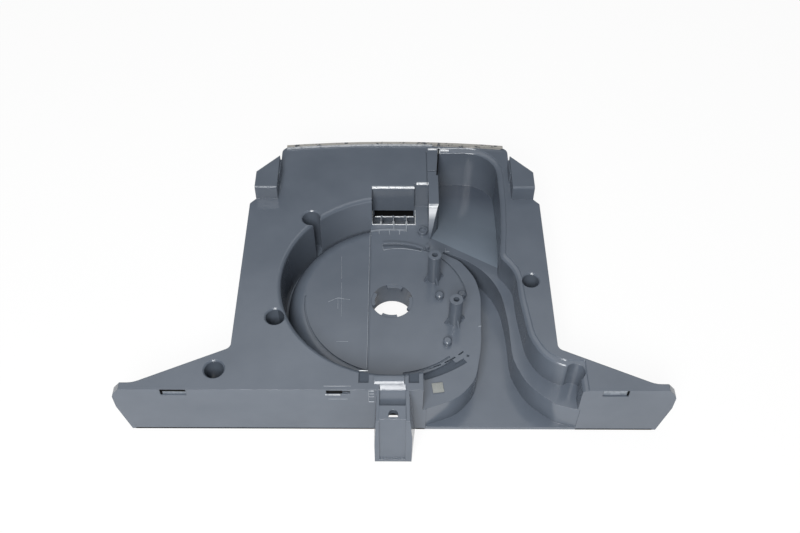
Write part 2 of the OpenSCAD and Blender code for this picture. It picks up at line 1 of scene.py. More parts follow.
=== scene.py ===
"""Looks of an injection moulded housing in slate-grey ABS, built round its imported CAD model.

Every length is in metres in the frame of the CAD model. Places are written in the drawing's own
millimetres, with Y measured from the front face and Z from the base, and at() turns them into the frame.
"""

import logging
import math
from dataclasses import dataclass
from enum import Enum

import bpy
from mathutils import Matrix, Vector


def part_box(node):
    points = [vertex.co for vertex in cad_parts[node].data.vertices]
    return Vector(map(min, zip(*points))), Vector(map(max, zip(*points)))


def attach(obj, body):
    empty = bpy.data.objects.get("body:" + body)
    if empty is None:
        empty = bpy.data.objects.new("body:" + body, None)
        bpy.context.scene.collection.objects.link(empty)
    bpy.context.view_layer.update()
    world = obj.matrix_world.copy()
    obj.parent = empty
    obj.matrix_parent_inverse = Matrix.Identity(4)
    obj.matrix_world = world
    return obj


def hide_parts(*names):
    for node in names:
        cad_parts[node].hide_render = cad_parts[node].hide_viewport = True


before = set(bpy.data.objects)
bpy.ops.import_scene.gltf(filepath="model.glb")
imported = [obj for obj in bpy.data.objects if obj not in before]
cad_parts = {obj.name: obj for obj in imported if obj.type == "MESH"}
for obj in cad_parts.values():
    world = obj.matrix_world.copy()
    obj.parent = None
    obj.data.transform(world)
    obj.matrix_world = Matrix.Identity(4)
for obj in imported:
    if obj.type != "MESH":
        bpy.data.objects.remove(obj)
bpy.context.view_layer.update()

MM = 0.001
BODY = "root"
LOG = logging.getLogger("housing")
WHITE = "ffffff"

# What several pieces share, in the drawing's millimetres.
TONGUE_FRONT = -20.8
DECK = 42.0
LEDGE = DECK - 21.0
DISC_CENTRE = (-1.4, 76.9)
HOOK_X = (-120.6, 121.2)
HOOK_WIDTH = 14.2
CUT_OVER = 1.0
BEAD_SIDES = 10

# A place on the plan, a range of a value, and the range that lets every value through.
Place = tuple[float, float]
Span = tuple[float, float]
ANY = (-math.inf, math.inf)


def at(x: float, y: float, z: float = 0.0) -> Vector:
    """Turn a place on the drawing into a place in the frame.

    Args:
        x: Millimetres to the right of the centre line.
        y: Millimetres behind the front face.
        z: Millimetres above the base.

    Returns:
        The same place in metres, in the frame.
    """
    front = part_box("housing")[0][1]
    return Vector((x * MM, front + (y - TONGUE_FRONT) * MM, z * MM))


def linear(hex_colour: str) -> tuple[float, float, float, float]:
    """Turn an sRGB hex colour into linear light.

    Args:
        hex_colour: Six hex digits, red first.

    Returns:
        Red, green and blue, linear, and full opacity.
    """
    channels = []
    for start in (0, 2, 4):
        value = int(hex_colour[start:start + 2], 16) / 255
        channels.append(value / 12.92 if value <= 0.04045 else ((value + 0.055) / 1.055) ** 2.4)
    return (channels[0], channels[1], channels[2], 1.0)


def add_node(tree: bpy.types.NodeTree, kind: str, settings: dict | None = None,
             links: dict | None = None) -> bpy.types.Node:
    """Add one shader node.

    Args:
        tree: Node tree that gets it.
        kind: Blender's type name for the node.
        settings: Values by attribute name or, where there is no such attribute, by input socket.
        links: Output sockets by the input socket that each feeds.

    Returns:
        The new node.
    """
    node = tree.nodes.new(kind)
    for name, value in (settings or {}).items():
        if isinstance(name, str) and hasattr(node, name):
            setattr(node, name, value)
        else:
            node.inputs[name].default_value = value
    for name, output in (links or {}).items():
        tree.links.new(output, node.inputs[name])
    return node


def new_material(name: str) -> tuple[bpy.types.Material, bpy.types.NodeTree]:
    """Make an empty node material.

    Args:
        name: Name of the finish.

    Returns:
        The material and its node tree, with no nodes in it.
    """
    material = bpy.data.materials.new(name)
    material.use_nodes = True
    material.node_tree.nodes.clear()
    return material, material.node_tree


def set_stops(ramp: bpy.types.ColorRamp, stops: tuple[tuple[float, str], ...]) -> None:
    """Give a new colour ramp its stops.

    Args:
        ramp: The ramp, with the two stops that it starts with.
        stops: Position and sRGB hex colour of each, the lowest first and the highest second.
    """
    for index, (position, colour) in enumerate(stops):
        stop = ramp.elements[index] if index < 2 else ramp.elements.new(position)
        stop.position = position
        stop.color = linear(colour)


def select_only(piece: bpy.types.Object) -> None:
    """Leave one object selected and active, for the operators that follow.

    Args:
        piece: The object.
    """
    bpy.ops.object.select_all(action="DESELECT")
    piece.select_set(True)
    bpy.context.view_layer.objects.active = piece


def settle(piece: bpy.types.Object) -> None:
    """Put an object's place, turn and size into its mesh, and leave the object at the origin."""
    select_only(piece)
    bpy.ops.object.transform_apply(location=True, rotation=True, scale=True)


def extruded(name: str, corners: list[Vector], along: Vector) -> bpy.types.Object:
    """Extrude a flat outline into a closed solid.

    Args:
        name: Name of the new object.
        corners: Outline in the frame, in order.
        along: Way and length of the extrusion.

    Returns:
        The solid, with its faces pointing outwards.
    """
    bpy.ops.object.select_all(action="DESELECT")
    bpy.ops.mesh.primitive_circle_add(vertices=len(corners), radius=0.01, fill_type="NGON")
    piece = bpy.context.active_object
    piece.name = name
    for vertex, corner in zip(piece.data.vertices, corners):
        vertex.co = corner
    bpy.ops.object.mode_set(mode="EDIT")
    bpy.ops.mesh.select_all(action="SELECT")
    bpy.ops.mesh.extrude_region_move(TRANSFORM_OT_translate={"value": tuple(along)})
    bpy.ops.mesh.select_all(action="SELECT")
    bpy.ops.mesh.normals_make_consistent(inside=False)
    bpy.ops.object.mode_set(mode="OBJECT")
    return piece


def prism(outline: list[Place], low: float, high: float) -> bpy.types.Object:
    """Raise a plan outline, in drawing millimetres, between two heights."""
    return extruded("prism", [at(x, y, low) for x, y in outline], Vector((0.0, 0.0, (high - low) * MM)))


def block(x: Span, y: Span, low: float, high: float) -> bpy.types.Object:
    """Raise a rectangle on the plan, in drawing millimetres, between two heights."""
    return prism([(x[0], y[0]), (x[1], y[0]), (x[1], y[1]), (x[0], y[1])], low, high)


def stroke(points: list[Place], width: float) -> list[Place]:
    """Give a line on the plan its width.

    Args:
        points: Places along the line, in drawing millimetres.
        width: Width of the line in millimetres.

    Returns:
        The closed outline of the line.
    """
    sides = ([], [])
    last = len(points) - 1
    for index, point in enumerate(points):
        before = Vector(points[max(index - 1, 0)])
        after = Vector(points[min(index + 1, last)])
        way = (after - before).normalized()
        for side, sign in zip(sides, (1, -1)):
            side.append((point[0] - sign * way.y * width / 2, point[1] + sign * way.x * width / 2))
    return sides[0] + sides[1][::-1]


def arc(centre: Place, radius: float, start: float, end: float,
        steps: int = 8, end_radius: float | None = None) -> list[Place]:
    """Set out places along an arc on the plan.

    Args:
        centre: Middle of the arc, in drawing millimetres.
        radius: Its radius where it starts.
        start: Angle where it starts, in degrees from the right.
        end: Angle where it ends.
        steps: Number of straight steps.
        end_radius: Its radius where it ends, if that is another.

    Returns:
        The places, from start to end.
    """
    places = []
    for step in range(steps + 1):
        part = step / steps
        angle = math.radians(start + (end - start) * part)
        reach = radius + ((end_radius or radius) - radius) * part
        places.append((centre[0] + reach * math.cos(angle), centre[1] + reach * math.sin(angle)))
    return places


def rod(start: tuple[float, float, float], end: tuple[float, float, float],
        radius: float) -> bpy.types.Object:
    """Lay a round bead of plastic between two places on the drawing.

    Args:
        start: Where it starts: right, behind the front and above the base, in drawing millimetres.
        end: Where it ends.
        radius: Its radius in millimetres.

    Returns:
        The bead, with flat ends.
    """
    first = at(*start)
    way = at(*end) - first
    across = way.cross(Vector((0.0, 0.0, 1.0)) if abs(way.z) < 0.5 * way.length else Vector((1.0, 0.0, 0.0)))
    across.normalize()
    up = way.normalized().cross(across)
    corners = []
    for side in range(BEAD_SIDES):
        angle = math.tau * side / BEAD_SIDES
        corners.append(first + (across * math.cos(angle) + up * math.sin(angle)) * radius * MM)
    return extruded("rod", corners, way)


def joined(pieces: list[bpy.types.Object], name: str) -> bpy.types.Object:
    """Join solids into one object, at the origin.

    Args:
        pieces: The solids, which are used up.
        name: Name of the whole.

    Returns:
        The whole.
    """
    bpy.ops.object.select_all(action="DESELECT")
    for piece in pieces:
        piece.select_set(True)
    bpy.context.view_layer.objects.active = pieces[0]
    if len(pieces) > 1:
        bpy.ops.object.join()
    whole = bpy.context.active_object
    whole.name = name
    settle(whole)
    return whole


@dataclass(frozen=True)
class SatinAbs:
    """Slate-grey ABS, injection moulded in a polished tool.

    The tool leaves a satin skin that mirrors the pale floor softly. A very fine orange-peel breaks the
    reflection up, and the flow of the melt leaves faint cloudy differences in tone. The real peel is about
    1 mm from crest to crest; it is drawn twice as coarse, to show at this distance.
    """

    name: str = "slate_abs"
    base: str = "59616c"
    cloud: str = "626a75"
    low: float = 0.3
    high: float = 0.7
    roughness: float = 0.17
    roughness_span: float = 0.06
    ior: float = 1.5
    cloud_mm: float = 38.0
    peel_mm: float = 2.2
    peel_depth_mm: float = 0.2
    peel_strength: float = 0.05
    edge_mm: float = 0.4

    def make(self) -> bpy.types.Material:
        """Build the node material.

        Returns:
            The material, named for the finish.
        """
        material, tree = new_material(self.name)
        place = add_node(tree, "ShaderNodeTexCoord").outputs["Object"]
        cloud = add_node(tree, "ShaderNodeTexNoise",
                         {"Scale": 1 / (self.cloud_mm * MM), "Detail": 3.0, "Roughness": 0.55},
                         {"Vector": place})
        peel = add_node(tree, "ShaderNodeTexNoise",
                        {"Scale": 1 / (self.peel_mm * MM), "Detail": 2.0, "Roughness": 0.5},
                        {"Vector": place})
        tone = add_node(tree, "ShaderNodeValToRGB", links={"Fac": cloud.outputs["Fac"]})
        set_stops(tone.color_ramp, ((self.low, self.base), (self.high, self.cloud)))
        gloss = add_node(tree, "ShaderNodeMapRange",
                         {"From Min": self.low, "From Max": self.high, "To Min": self.roughness,
                          "To Max": self.roughness + self.roughness_span},
                         {"Value": peel.outputs["Fac"]})
        edge = add_node(tree, "ShaderNodeBevel", {"samples": 6, "Radius": self.edge_mm * MM})
        skin = add_node(tree, "ShaderNodeBump",
                        {"Strength": self.peel_strength, "Distance": self.peel_depth_mm * MM},
                        {"Height": peel.outputs["Fac"], "Normal": edge.outputs["Normal"]})
        shader = add_node(tree, "ShaderNodeBsdfPrincipled", {"IOR": self.ior},
                          {"Base Color": tone.outputs["Color"], "Roughness": gloss.outputs["Result"],
                           "Normal": skin.outputs["Normal"]})
        add_node(tree, "ShaderNodeOutputMaterial", links={"Surface": shader.outputs["BSDF"]})
        return material


@dataclass(frozen=True)
class PaintedHighlightAbs:
    """Pale, glossy ABS on rolled edges, lips and raised lines, as a painted highlight.

    The bright bars that these edges show are painted into their colour, paler and glossier than the skin
    round them, in patches a few millimetres long.
    """

    name: str = "painted_highlight_abs"
    base: str = "c3c7cb"
    dim_patches: str = "9aa0a7"
    low: float = 0.3
    high: float = 0.55
    roughness: float = 0.14
    ior: float = 1.5
    dim_patch_mm: float = 2.4

    def make(self) -> bpy.types.Material:
        """Build the node material.

        Returns:
            The material, named for the finish.
        """
        material, tree = new_material(self.name)
        place = add_node(tree, "ShaderNodeTexCoord").outputs["Object"]
        dim_patches = add_node(tree, "ShaderNodeTexNoise", {"Scale": 1 / (self.dim_patch_mm * MM), "Detail": 2.0},
                       {"Vector": place})
        tone = add_node(tree, "ShaderNodeValToRGB", links={"Fac": dim_patches.outputs["Fac"]})
        set_stops(tone.color_ramp, ((self.low, self.dim_patches), (self.high, self.base)))
        shader = add_node(tree, "ShaderNodeBsdfPrincipled", {"IOR": self.ior, "Roughness": self.roughness},
                          {"Base Color": tone.outputs["Color"]})
        add_node(tree, "ShaderNodeOutputMaterial", links={"Surface": shader.outputs["BSDF"]})
        return material


@dataclass(frozen=True)
class PaintedShadeAbs:
    """Painted shade: near-black ABS deep in slots, grooves and holes, where little light comes,
    with the tool's matt grain.

    The real grain is about 0.1 mm; it is drawn coarse, so that a dark face isn't quite flat in tone.
    """

    name: str = "painted_shade_abs"
    base: str = "07080a"
    grain: str = "0e1012"
    roughness: float = 0.85
    grain_mm: float = 0.8
    specular: float = 0.15

    def make(self) -> bpy.types.Material:
        """Build the node material.

        Returns:
            The material, named for the finish.
        """
        material, tree = new_material(self.name)
        place = add_node(tree, "ShaderNodeTexCoord").outputs["Object"]
        grain = add_node(tree, "ShaderNodeTexNoise", {"Scale": 1 / (self.grain_mm * MM)}, {"Vector": place})
        tone = add_node(tree, "ShaderNodeValToRGB", links={"Fac": grain.outputs["Fac"]})
        set_stops(tone.color_ramp, ((0.0, self.base), (1.0, self.grain)))
        shader = add_node(tree, "ShaderNodeBsdfPrincipled",
                          {"Roughness": self.roughness, "Specular IOR Level": self.specular},
                          {"Base Color": tone.outputs["Color"]})
        add_node(tree, "ShaderNodeOutputMaterial", links={"Surface": shader.outputs["BSDF"]})
        return material


class Axis(Enum):
    """An axis of the frame."""

    X = "X"
    Y = "Y"
    Z = "Z"


@dataclass(frozen=True)
class GradedPaintedLight:
    """ABS whose tone runs along one way: painted light and shade laid into its colour.

    The run goes from low_mm to high_mm along the axis, in millimetres of the frame.
    """

    name: str
    axis: Axis
    low_mm: float
    high_mm: float
    stops: tuple[tuple[float, str], ...]
    roughness: float = 0.18
    ior: float = 1.5
    edge_mm: float = 0.4

    def make(self) -> bpy.types.Material:
        """Build the node material.

        Returns:
            The material, named for the finish.
        """
        material, tree = new_material(self.name)
        place = add_node(tree, "ShaderNodeTexCoord").outputs["Object"]
        along = add_node(tree, "ShaderNodeSeparateXYZ", None, {"Vector": place}).outputs[self.axis.value]
        part = add_node(tree, "ShaderNodeMapRange",
                        {"From Min": self.low_mm * MM, "From Max": self.high_mm * MM}, {"Value": along})
        tone = add_node(tree, "ShaderNodeValToRGB", links={"Fac": part.outputs["Result"]})
        set_stops(tone.color_ramp, self.stops)
        edge = add_node(tree, "ShaderNodeBevel", {"samples": 6, "Radius": self.edge_mm * MM})
        shader = add_node(tree, "ShaderNodeBsdfPrincipled", {"IOR": self.ior, "Roughness": self.roughness},
                          {"Base Color": tone.outputs["Color"], "Normal": edge.outputs["Normal"]})
        add_node(tree, "ShaderNodeOutputMaterial", links={"Surface": shader.outputs["BSDF"]})
        return material


@dataclass(frozen=True)
class PaintedRimReflection:
    """Painted reflection on the rear rim: pale beige-grey ABS, broken by dark spots at random."""

    name: str = "painted_rim_reflection_abs"
    base: str = "a3a19c"
    spot: str = "4a4e55"
    low: float = 0.38
    high: float = 0.46
    roughness: float = 0.4
    spot_mm: float = 3.2

    def make(self) -> bpy.types.Material:
        """Build the node material.

        Returns:
            The material, named for the finish.
        """
        material, tree = new_material(self.name)
        place = add_node(tree, "ShaderNodeTexCoord").outputs["Object"]
        spots = add_node(tree, "ShaderNodeTexNoise",
                         {"Scale": 1 / (self.spot_mm * MM), "Detail": 3.0, "Roughness": 0.65},
                         {"Vector": place})
        tone = add_node(tree, "ShaderNodeValToRGB", links={"Fac": spots.outputs["Fac"]})
        set_stops(tone.color_ramp, ((self.low, self.spot), (self.high, self.base)))
        shader = add_node(tree, "ShaderNodeBsdfPrincipled", {"Roughness": self.roughness},
                          {"Base Color": tone.outputs["Color"]})
        add_node(tree, "ShaderNodeOutputMaterial", links={"Surface": shader.outputs["BSDF"]})
        return material


@dataclass(frozen=True)
class OpenCellFoam:
    """Pale grey adhesive foam: matt, with a fine open-cell pitting that takes the shine away.

    The real cells are 0.2 to 0.3 mm wide; they are drawn at 0.5 mm, to show at all.
    """

    name: str = "pad_foam"
    base: str = "959895"
    pit: str = "7e817e"
    roughness: float = 0.95
    ior: float = 1.45
    cell_mm: float = 0.5
    wall_share: float = 0.5
    pit_depth_mm: float = 0.15
    pit_strength: float = 0.5

    def make(self) -> bpy.types.Material:
        """Build the node material.

        Returns:
            The material, named for the finish.
        """
        material, tree = new_material(self.name)
        place = add_node(tree, "ShaderNodeTexCoord").outputs["Object"]
        cells = add_node(tree, "ShaderNodeTexVoronoi", {"Scale": 1 / (self.cell_mm * MM)}, {"Vector": place})
        tone = add_node(tree, "ShaderNodeValToRGB", links={"Fac": cells.outputs["Distance"]})
        set_stops(tone.color_ramp, ((0.0, self.pit), (self.wall_share, self.base)))
        bump = add_node(tree, "ShaderNodeBump",
                        {"Strength": self.pit_strength, "Distance": self.pit_depth_mm * MM},
                        {"Height": cells.outputs["Distance"]})
        shader = add_node(tree, "ShaderNodeBsdfPrincipled",
                          {"IOR": self.ior, "Roughness": self.roughness},
                          {"Base Color": tone.outputs["Color"], "Normal": bump.outputs["Normal"]})
        add_node(tree, "ShaderNodeOutputMaterial", links={"Surface": shader.outputs["BSDF"]})
        return material


@dataclass
class Lamp:
    """One soft rectangular lamp that faces the part: place and size in metres, power in watts."""

    name: str
    place: tuple[float, float, float]
    width: float
    height: float
    power: float

    def build(self) -> bpy.types.Object:
        """Add the lamp to the scene, turned towards the middle of the part.

        Returns:
            The lamp.
        """
        data = bpy.data.lights.new(self.name, "AREA")
        data.shape = "RECTANGLE"
        data.size = self.width
        data.size_y = self.height
        data.energy = self.power
        lamp = bpy.data.objects.new(self.name, data)
        lamp.location = self.place
        lamp.rotation_euler = (-Vector(self.place)).to_track_quat("-Z", "Y").to_euler()
        bpy.context.scene.collection.objects.link(lamp)
        return lamp


@dataclass
class Studio:
    """Camera, pale floor and soft lamps round the part.

    The camera's distances are in drawing millimetres, from the front and from the deck, and its focal length
    and the shift of its centre are in pixels of the photograph. Its sight and the floor are in metres. The
    part's own shade on the floor is taken as a disc, 1 / shade_per_metre in radius and moved by shade_shift
    radii: outside it, the floor glows in reflections.
    """

    camera_back: float = 272.9
    camera_above_deck: float = 437.8
    pitch_deg: float = 50.6
    roll_deg: float = 0.19
    focal_px: float = 943.0
    image_width_px: float = 800.0
    centre_px: float = 5.5
    sensor_mm: float = 36.0
    sight: Span = (0.01, 50.0)
    floor_size: float = 14.0
    floor_glow: float = 1.0
    glow_share: float = 0.9
    shade_per_metre: float = 11.0
    shade_shift: float = -0.09
    world_level: float = 0.06

    def camera(self) -> bpy.types.Object:
        """Set the camera where the photograph was taken from.

        Returns:
            The camera.
        """
        data = bpy.data.cameras.new("photo_camera")
        data.sensor_width = self.sensor_mm
        data.lens = self.focal_px * self.sensor_mm / self.image_width_px
        data.shift_x = self.centre_px / self.image_width_px
        data.clip_start, data.clip_end = self.sight
        camera = bpy.data.objects.new("photo_camera", data)
        camera.location = at(0.0, -self.camera_back, DECK + self.camera_above_deck)
        pitch = Matrix.Rotation(math.radians(90.0 - self.pitch_deg), 3, "X")
        camera.rotation_euler = (pitch @ Matrix.Rotation(math.radians(self.roll_deg), 3, "Z")).to_euler()
        bpy.context.scene.collection.objects.link(camera)
        bpy.context.scene.camera = camera
        return camera

    def floor(self) -> bpy.types.Object:
        """Lay the floor, white to the camera and, outside the part's own shade, in reflections.

        Returns:
            The floor.
        """
        bpy.ops.object.select_all(action="DESELECT")
        bpy.ops.mesh.primitive_plane_add(size=self.floor_size)
        floor = bpy.context.active_object
        floor.name = "floor"
        settle(floor)
        material, tree = new_material("pale_floor")
        rays = add_node(tree, "ShaderNodeLightPath").outputs
        place = add_node(tree, "ShaderNodeTexCoord").outputs["Object"]
        shade = add_node(tree, "ShaderNodeMapping",
                         {"Location": (0.0, self.shade_shift, 0.0),
                          "Scale": (self.shade_per_metre, self.shade_per_metre, 0.0)},
                         {"Vector": place})
        reach = add_node(tree, "ShaderNodeVectorMath", {"operation": "LENGTH"}, {0: shade.outputs[0]})
        clear = add_node(tree, "ShaderNodeMath", {"operation": "GREATER_THAN", 1: 1.0},
                         {0: reach.outputs["Value"]})
        mirrored = add_node(tree, "ShaderNodeMath", {"operation": "MULTIPLY"},
                            {0: rays["Is Glossy Ray"], 1: clear.outputs[0]})
        seen = add_node(tree, "ShaderNodeMath", {"operation": "MAXIMUM"},
                        {0: rays["Is Camera Ray"], 1: mirrored.outputs[0]})
        seen = add_node(tree, "ShaderNodeMath", {"operation": "MAXIMUM"},
                        {0: seen.outputs[0], 1: rays["Is Transmission Ray"]})
        share = add_node(tree, "ShaderNodeMath", {"operation": "MULTIPLY", 1: self.glow_share},
                         {0: seen.outputs[0]})
        paint = add_node(tree, "ShaderNodeBsdfDiffuse", {"Color": linear(WHITE)})
        glow = add_node(tree, "ShaderNodeEmission", {"Color": linear(WHITE), "Strength": self.floor_glow})
        mix = add_node(tree, "ShaderNodeMixShader", None,
                       {0: share.outputs[0], 1: paint.outputs[0], 2: glow.outputs[0]})
        add_node(tree, "ShaderNodeOutputMaterial", links={"Surface": mix.outputs[0]})
        floor.data.materials.append(material)
        return floor

    def world(self) -> None:
        """Fill the studio with a little even light, and show it white to the camera beyond the floor."""
        world = bpy.data.worlds.new("studio_fill")
        bpy.context.scene.world = world
        world.use_nodes = True
        tree = world.node_tree
        tree.nodes.clear()
        rays = add_node(tree, "ShaderNodeLightPath").outputs
        fill = add_node(tree, "ShaderNodeBackground", {"Color": linear(WHITE), "Strength": self.world_level})
        seen = add_node(tree, "ShaderNodeBackground", {"Color": linear(WHITE), "Strength": 1.0})
        sky = add_node(tree, "ShaderNodeMixShader", None,
                       {0: rays["Is Camera Ray"], 1: fill.outputs[0], 2: seen.outputs[0]})
        add_node(tree, "ShaderNodeOutputWorld", links={"Surface": sky.outputs[0]})

    def lamps(self) -> None:
        """Hang the lamps: a broad softbox overhead and a tall one in front, which the rolled edges mirror."""
        Lamp("zenith_softbox", (0.0, 0.3, 1.6), 1.6, 1.6, 10.2).build()
        Lamp("front_softbox", (-0.1, -0.7, 0.76), 0.35, 0.5, 10.2).build()

    def build(self) -> None:
        """Build the whole studio."""
        bpy.context.scene.view_settings.view_transform = "Standard"
        self.camera()
        self.floor()
        self.world()
        self.lamps()


class Finish(Enum):
    """Finishes of the moulding, in the order of its material slots; all but the skin are painted light or
    shade.
    """

    SKIN = 0
    BURNISHED = 1
    CAVITY = 2
    RUBBED = 3
    WORN = 4
    RECESS = 5
    NOSE = 6
    RAMP = 7
    BOWL = 8


@dataclass(frozen=True)
class Patch:
    """Faces that share a finish, told by where their middles are and which way they point.

    x, y and z are ranges in drawing millimetres, reach is that of the distance from the disc's centre on the
    plan, and across, back and up are those of the normal's X, Y and Z.
    """

    finish: Finish
    x: Span = ANY
    y: Span = ANY
    z: Span = ANY
    reach: Span = ANY
    across: Span = ANY
    back: Span = ANY
    up: Span = ANY

    def holds(self, values: tuple[float, ...]) -> bool:
        """Say whether a face's values, in the order of the ranges, all lie within them."""
        spans = (self.x, self.y, self.z, self.reach, self.across, self.back, self.up)
        return all(low < value < high for value, (low, high) in zip(values, spans))


@dataclass
class HousingShell:
    """The one-piece moulding, dressed as a copy of its CAD node with moulded edges and fine cuts."""

    node: str = "housing"
    merge_mm: float = 0.005
    flat_deg: float = 0.2
    smooth_deg: float = 24.0
    flat_weight: int = 100
    front_arc_centre: Place = (-8.3, 102.5)
    dash_centre: Place = (1.4, 83.1)
    dash_radius: float = 58.4
    dash_width: float = 0.8
    hook_margin: float = 0.3
    hook_depth: float = 4.8
    closing_thickness: float = 0.3

    def cuts(self) -> list[bpy.types.Object]:
        """Make the cutters of the joint lines, slots and shallow recesses.

        Returns:
            The cutters.
        """
        joint_lines = (
            ([(21.0, 156.3), (21.0, 187.0)], 0.6, 1.2),
            ([(21.5, 167.7), (28.0, 167.7)], 0.7, 1.0),
            ([(29.3, 189.4), (27.5, 164.0)], 0.9, 3.0),
        )
        cutters = [prism(stroke(points, width), DECK - depth, DECK + CUT_OVER)
                   for points, width, depth in joint_lines]
        rear_band = arc(DISC_CENTRE, 45.8, 98.0, 65.0)
        rear_band += arc(DISC_CENTRE, 43.8, 65.0, 98.0, end_radius=41.3)
        front_band = arc(self.front_arc_centre, 86.7, -72.6, -54.3)
        front_band += arc(self.front_arc_centre, 83.4, -54.3, -72.6)
        cutters.append(prism(rear_band, LEDGE - 0.8, LEDGE + 0.4))
        cutters.append(prism(front_band, LEDGE - 1.2, LEDGE + CUT_OVER))
        cutters.append(block((42.4, 43.8), (36.1, 37.5), LEDGE - 1.5, LEDGE + CUT_OVER))
        for start, end in ((-75.0, -73.1), (-71.7, -63.8), (-61.5, -54.1), (-51.6, -47.9)):
            places = arc(self.dash_centre, self.dash_radius, start, end, steps=4)
            cutters.append(prism(stroke(places, self.dash_width), LEDGE - 2.0, LEDGE + CUT_OVER))
        catch_hole = block((-37.0, -28.2), (-1.0, 2.2), 37.7, 41.2)
        return cutters + [catch_hole]

    def closings(self) -> list[bpy.types.Object]:
        """Make the thin pieces of deck that close the hook slots from above.

        Returns:
            One piece for each slot.
        """
        half = HOOK_WIDTH / 2
        return [block((x - half - self.hook_margin, x + half + self.hook_margin), (0.0, self.hook_depth),
                      DECK - self.closing_thickness, DECK) for x in HOOK_X]

    def combine(self, piece: bpy.types.Object, tools: list[bpy.types.Object], operation: str) -> None:
        """Add solids to the moulding or cut them out of it.

        Args:
            piece: The moulding.
            tools: The solids, which are used up.
            operation: UNION or DIFFERENCE.
        """
        tool = joined(tools, "tool")
        select_only(piece)
        change = piece.modifiers.new("change", "BOOLEAN")
        change.operation = operation
        change.solver = "EXACT"
        change.use_self = True
        change.object = tool
        bpy.ops.object.modifier_apply(modifier=change.name)
        bpy.data.objects.remove(tool)

    def patches(self) -> list[Patch]:
        """List the patches that aren't plain skin.

        Returns:
            The patches. Where two hold the same face, the first one counts.
        """
        # The rear rim: a painted reflection, with a painted highlight on its front edge left of the divider.
        rim = {"y": (180.0, math.inf), "z": (DECK + 0.3, math.inf)}
        found = [
            Patch(Finish.BURNISHED, x=(-math.inf, 21.0), back=(-math.inf, -0.5), **rim),
            Patch(Finish.RUBBED, **rim),
        ]
        # Painted highlights on the rolled edges behind the niche, beside it, on the divider's nose and at its
        # rear end.
        rolled_edges = (
            ((-14.7, 13.7), (152.3, 154.5)),
            ((13.7, 21.9), (155.9, 158.1)),
            ((21.8, 28.3), (133.0, 139.2)),
            ((28.3, 36.0), (185.0, 190.0)),
        )
        for x, y in rolled_edges:
            found.append(Patch(Finish.BURNISHED, x=x, y=y, z=(DECK - 5.0, math.inf),
                               back=(-math.inf, -0.1), up=(0.35, 0.97)))
        # In turn: painted shade in the window in the niche's back wall, on the floors of the front band and
        # of its dashes and on the niche's left wall, a painted highlight on the raised lines in front of the
        # niche and on the divider's nose, painted shade in the recesses beside the ridge and on the pocket's
        # ramp, the crescent and the bowl's wall.
        cut_floors = {"x": (5.0, 52.0), "y": (10.0, 46.0), "up": (0.9, math.inf)}
        above_ledge = (LEDGE, math.inf)
        found += [
            Patch(Finish.CAVITY, x=(-14.0, 13.2), y=(152.45, 165.0), z=(LEDGE - 6.5, LEDGE)),
            Patch(Finish.RECESS, z=(LEDGE - 1.7, LEDGE - 1.0), **cut_floors),
            Patch(Finish.CAVITY, z=(LEDGE - 2.2, LEDGE - 1.0), **cut_floors),
            Patch(Finish.RECESS, x=(-15.0, -14.6), y=(139.0, 152.0), z=above_ledge, across=(0.9, math.inf)),
            Patch(Finish.WORN, x=(-15.6, 8.2), y=(128.0, 140.0), z=(LEDGE + 0.05, LEDGE + 1.0)),
            Patch(Finish.NOSE, x=(21.6, 28.3), y=(126.0, 139.0), z=above_ledge,
                  across=(-0.3, 0.3), back=(-math.inf, -0.3)),
            Patch(Finish.RECESS, x=(-19.5, -13.9), y=(4.6, 12.8), z=(DECK - 1.6, DECK - 0.1)),
            Patch(Finish.RECESS, x=(8.0, 13.6), y=(4.6, 12.8), z=(DECK - 1.6, DECK - 0.1)),
            Patch(Finish.RAMP, x=(28.0, 68.0), y=(117.0, math.inf), z=(-math.inf, LEDGE - 0.1),
                  up=(0.5, math.inf)),
            Patch(Finish.CAVITY, x=(-math.inf, -15.5), y=(-math.inf, 66.0), z=(LEDGE - 1.0, LEDGE - 0.05),
                  reach=(52.6, 54.2)),
            Patch(Finish.BOWL, x=(-math.inf, 18.0), z=(DECK - 34.5, DECK), reach=(64.0, 70.0),
                  up=(-0.5, 0.5)),
        ]
        # Painted shade inside the hook slots and the catch hole, and a painted highlight on the back wall of
        # each slot.
        for x in HOOK_X:
            inside = HOOK_WIDTH / 2 + 0.1
            back_wall = HOOK_WIDTH / 2 - 0.1
            found.append(Patch(Finish.CAVITY, x=(x - inside, x + inside), y=(1.05, 4.6),
                               z=(DECK - 2.0, DECK - 0.1)))
            found.append(Patch(Finish.WORN, x=(x - back_wall, x + back_wall), y=(0.9, 1.1),
                               back=(-math.inf, -0.9)))
        found.append(Patch(Finish.CAVITY, x=(-37.1, -28.1), y=(0.1, 2.6), z=(38.2, 41.3)))
        return found

    def paint(self, piece: bpy.types.Object) -> None:
        """Give every face of the moulding its finish.

        Args:
            piece: The moulding, with its materials in the order of Finish.
        """
        patches = self.patches()
        origin = at(0.0, 0.0)
        for face in piece.data.polygons:
            place = (face.center - origin) / MM
            reach = math.hypot(place.x - DISC_CENTRE[0], place.y - DISC_CENTRE[1])
            values = (*place, reach, *face.normal)
            finish = next((patch.finish for patch in patches if patch.holds(values)), Finish.SKIN)
            face.material_index = finish.value

